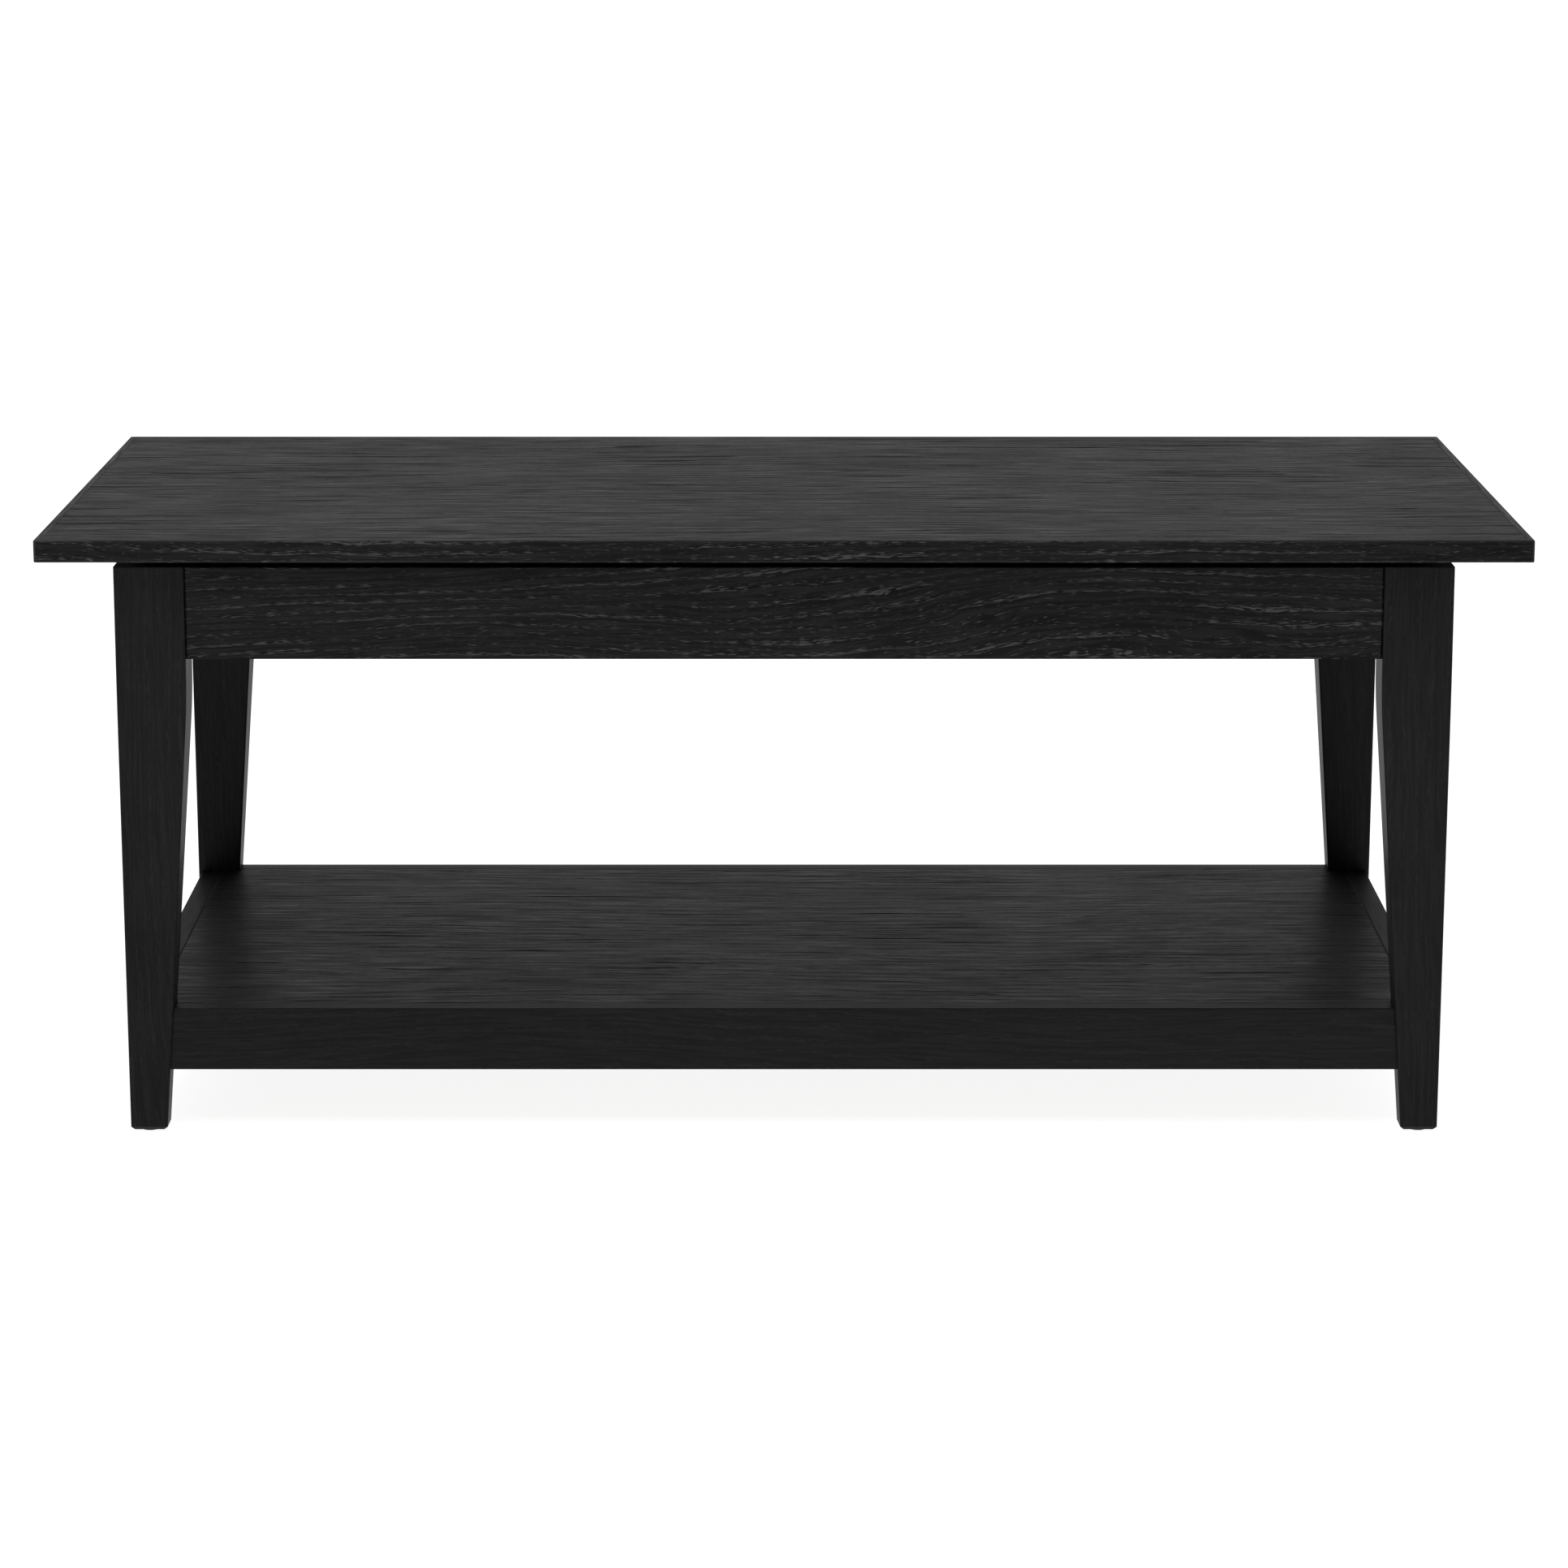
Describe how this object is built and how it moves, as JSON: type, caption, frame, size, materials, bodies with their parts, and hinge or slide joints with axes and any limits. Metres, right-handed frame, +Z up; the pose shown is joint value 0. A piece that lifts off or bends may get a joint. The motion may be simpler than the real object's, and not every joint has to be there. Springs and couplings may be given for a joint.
{
  "type": "lift top coffee table",
  "caption": "Low rectangular table with tapered legs and a lower shelf; its top rises forward on spring-assisted parallel arms over a storage compartment.",
  "frame": {"origin": "on the floor, under the middle of the table", "axes": "+X along the table's length, to the right of someone sitting at the front; +Y to the rear; +Z up"},
  "size_m": [1.2, 0.6, 0.5],
  "materials": {
    "stained_oak": "black stain under satin lacquer, open pores",
    "stained_oak_veneer": "black stain under satin lacquer, crown-cut oak veneer",
    "floor_board": "black faced board, matte",
    "bare_wood": "planed, unfinished",
    "black_steel": "black powder coat",
    "zinc_steel": "bright zinc plate",
    "black_rubber": "matte",
    "nylon": "matte"
  },
  "bodies": {
    "frame": {"anchor_screws": "zinc_steel", "apron_front": "stained_oak", "apron_left": "stained_oak", "apron_rear": "stained_oak", "apron_right": "stained_oak", "base_plate_left": "black_steel", "base_plate_right": "black_steel", "base_screws": "zinc_steel", "batten_screws": "zinc_steel", "cam_bolts": "zinc_steel", "cam_locks": "zinc_steel", "cleat_screws": "zinc_steel", "compartment_floor": "floor_board", "floor_battens": "bare_wood", "foot_glides": "nylon", "joint_dowels": "bare_wood", "leg_front_left": "stained_oak", "leg_front_right": "stained_oak", "leg_rear_left": "stained_oak", "leg_rear_right": "stained_oak", "pivot_clips": "zinc_steel", "pivot_studs": "zinc_steel", "pivot_washers": "nylon", "shelf_cleats": "bare_wood", "shelf_panel": "stained_oak_veneer", "shelf_rail_front": "stained_oak", "shelf_rail_left": "stained_oak", "shelf_rail_rear": "stained_oak", "shelf_rail_right": "stained_oak", "spring_anchor_left": "black_steel", "spring_anchor_pins": "zinc_steel", "spring_anchor_right": "black_steel", "stop_buffers": "black_rubber", "stop_posts": "zinc_steel", "top_bumpers": "black_rubber"},
    "rear_arms": {"rear_arm_left": "black_steel", "rear_arm_right": "black_steel", "rear_link_pins": "zinc_steel", "rear_link_washers": "nylon"},
    "front_arms": {"front_arm_left": "black_steel", "front_arm_right": "black_steel", "spring_lever_left": "black_steel", "spring_lever_right": "black_steel", "front_link_pins": "zinc_steel", "front_link_washers": "nylon", "spring_hook_pins": "zinc_steel"},
    "lift_top": {"top_board": "stained_oak_veneer", "top_lipping_front": "stained_oak", "top_lipping_rear": "stained_oak", "top_lipping_left": "stained_oak", "top_lipping_right": "stained_oak", "top_carrier_left": "black_steel", "top_carrier_right": "black_steel", "carrier_screws": "zinc_steel"},
    "springs": {"lift_spring_left": "zinc_steel", "lift_spring_right": "zinc_steel"}
  },
  "joints": [
    {"name": "lift", "type": "hinge", "parent": "frame", "child": "rear_arms", "pos_m": [0, -0.12, 0.4305], "axis": [1, 0, 0], "range_deg": [0, 130], "stiffness_Nm_per_rad": 9, "springref_deg": 90},
    {"name": "front_arm_pivot", "type": "hinge", "parent": "frame", "child": "front_arms", "pos_m": [0, -0.185, 0.4565], "axis": [1, 0, 0], "range_deg": [0, 130]},
    {"name": "top_pivot", "type": "hinge", "parent": "rear_arms", "child": "lift_top", "pos_m": [0, 0.09, 0.4305], "axis": [1, 0, 0], "range_deg": [-130, 0]},
    {"name": "spring_swing", "type": "hinge", "parent": "frame", "child": "springs", "pos_m": [0, 0.045, 0.4315], "axis": [1, 0, 0], "range_deg": [-12, 0], "deforming": ["lift_spring_left", "lift_spring_right"]}
  ],
  "couplings": [
    {"joint": "front_arm_pivot", "follows": "lift", "ratio": 1},
    {"joint": "top_pivot", "follows": "lift", "ratio": -1},
    {"joint": "spring_swing", "follows": "lift", "ratio": -0.08479}
  ]
}
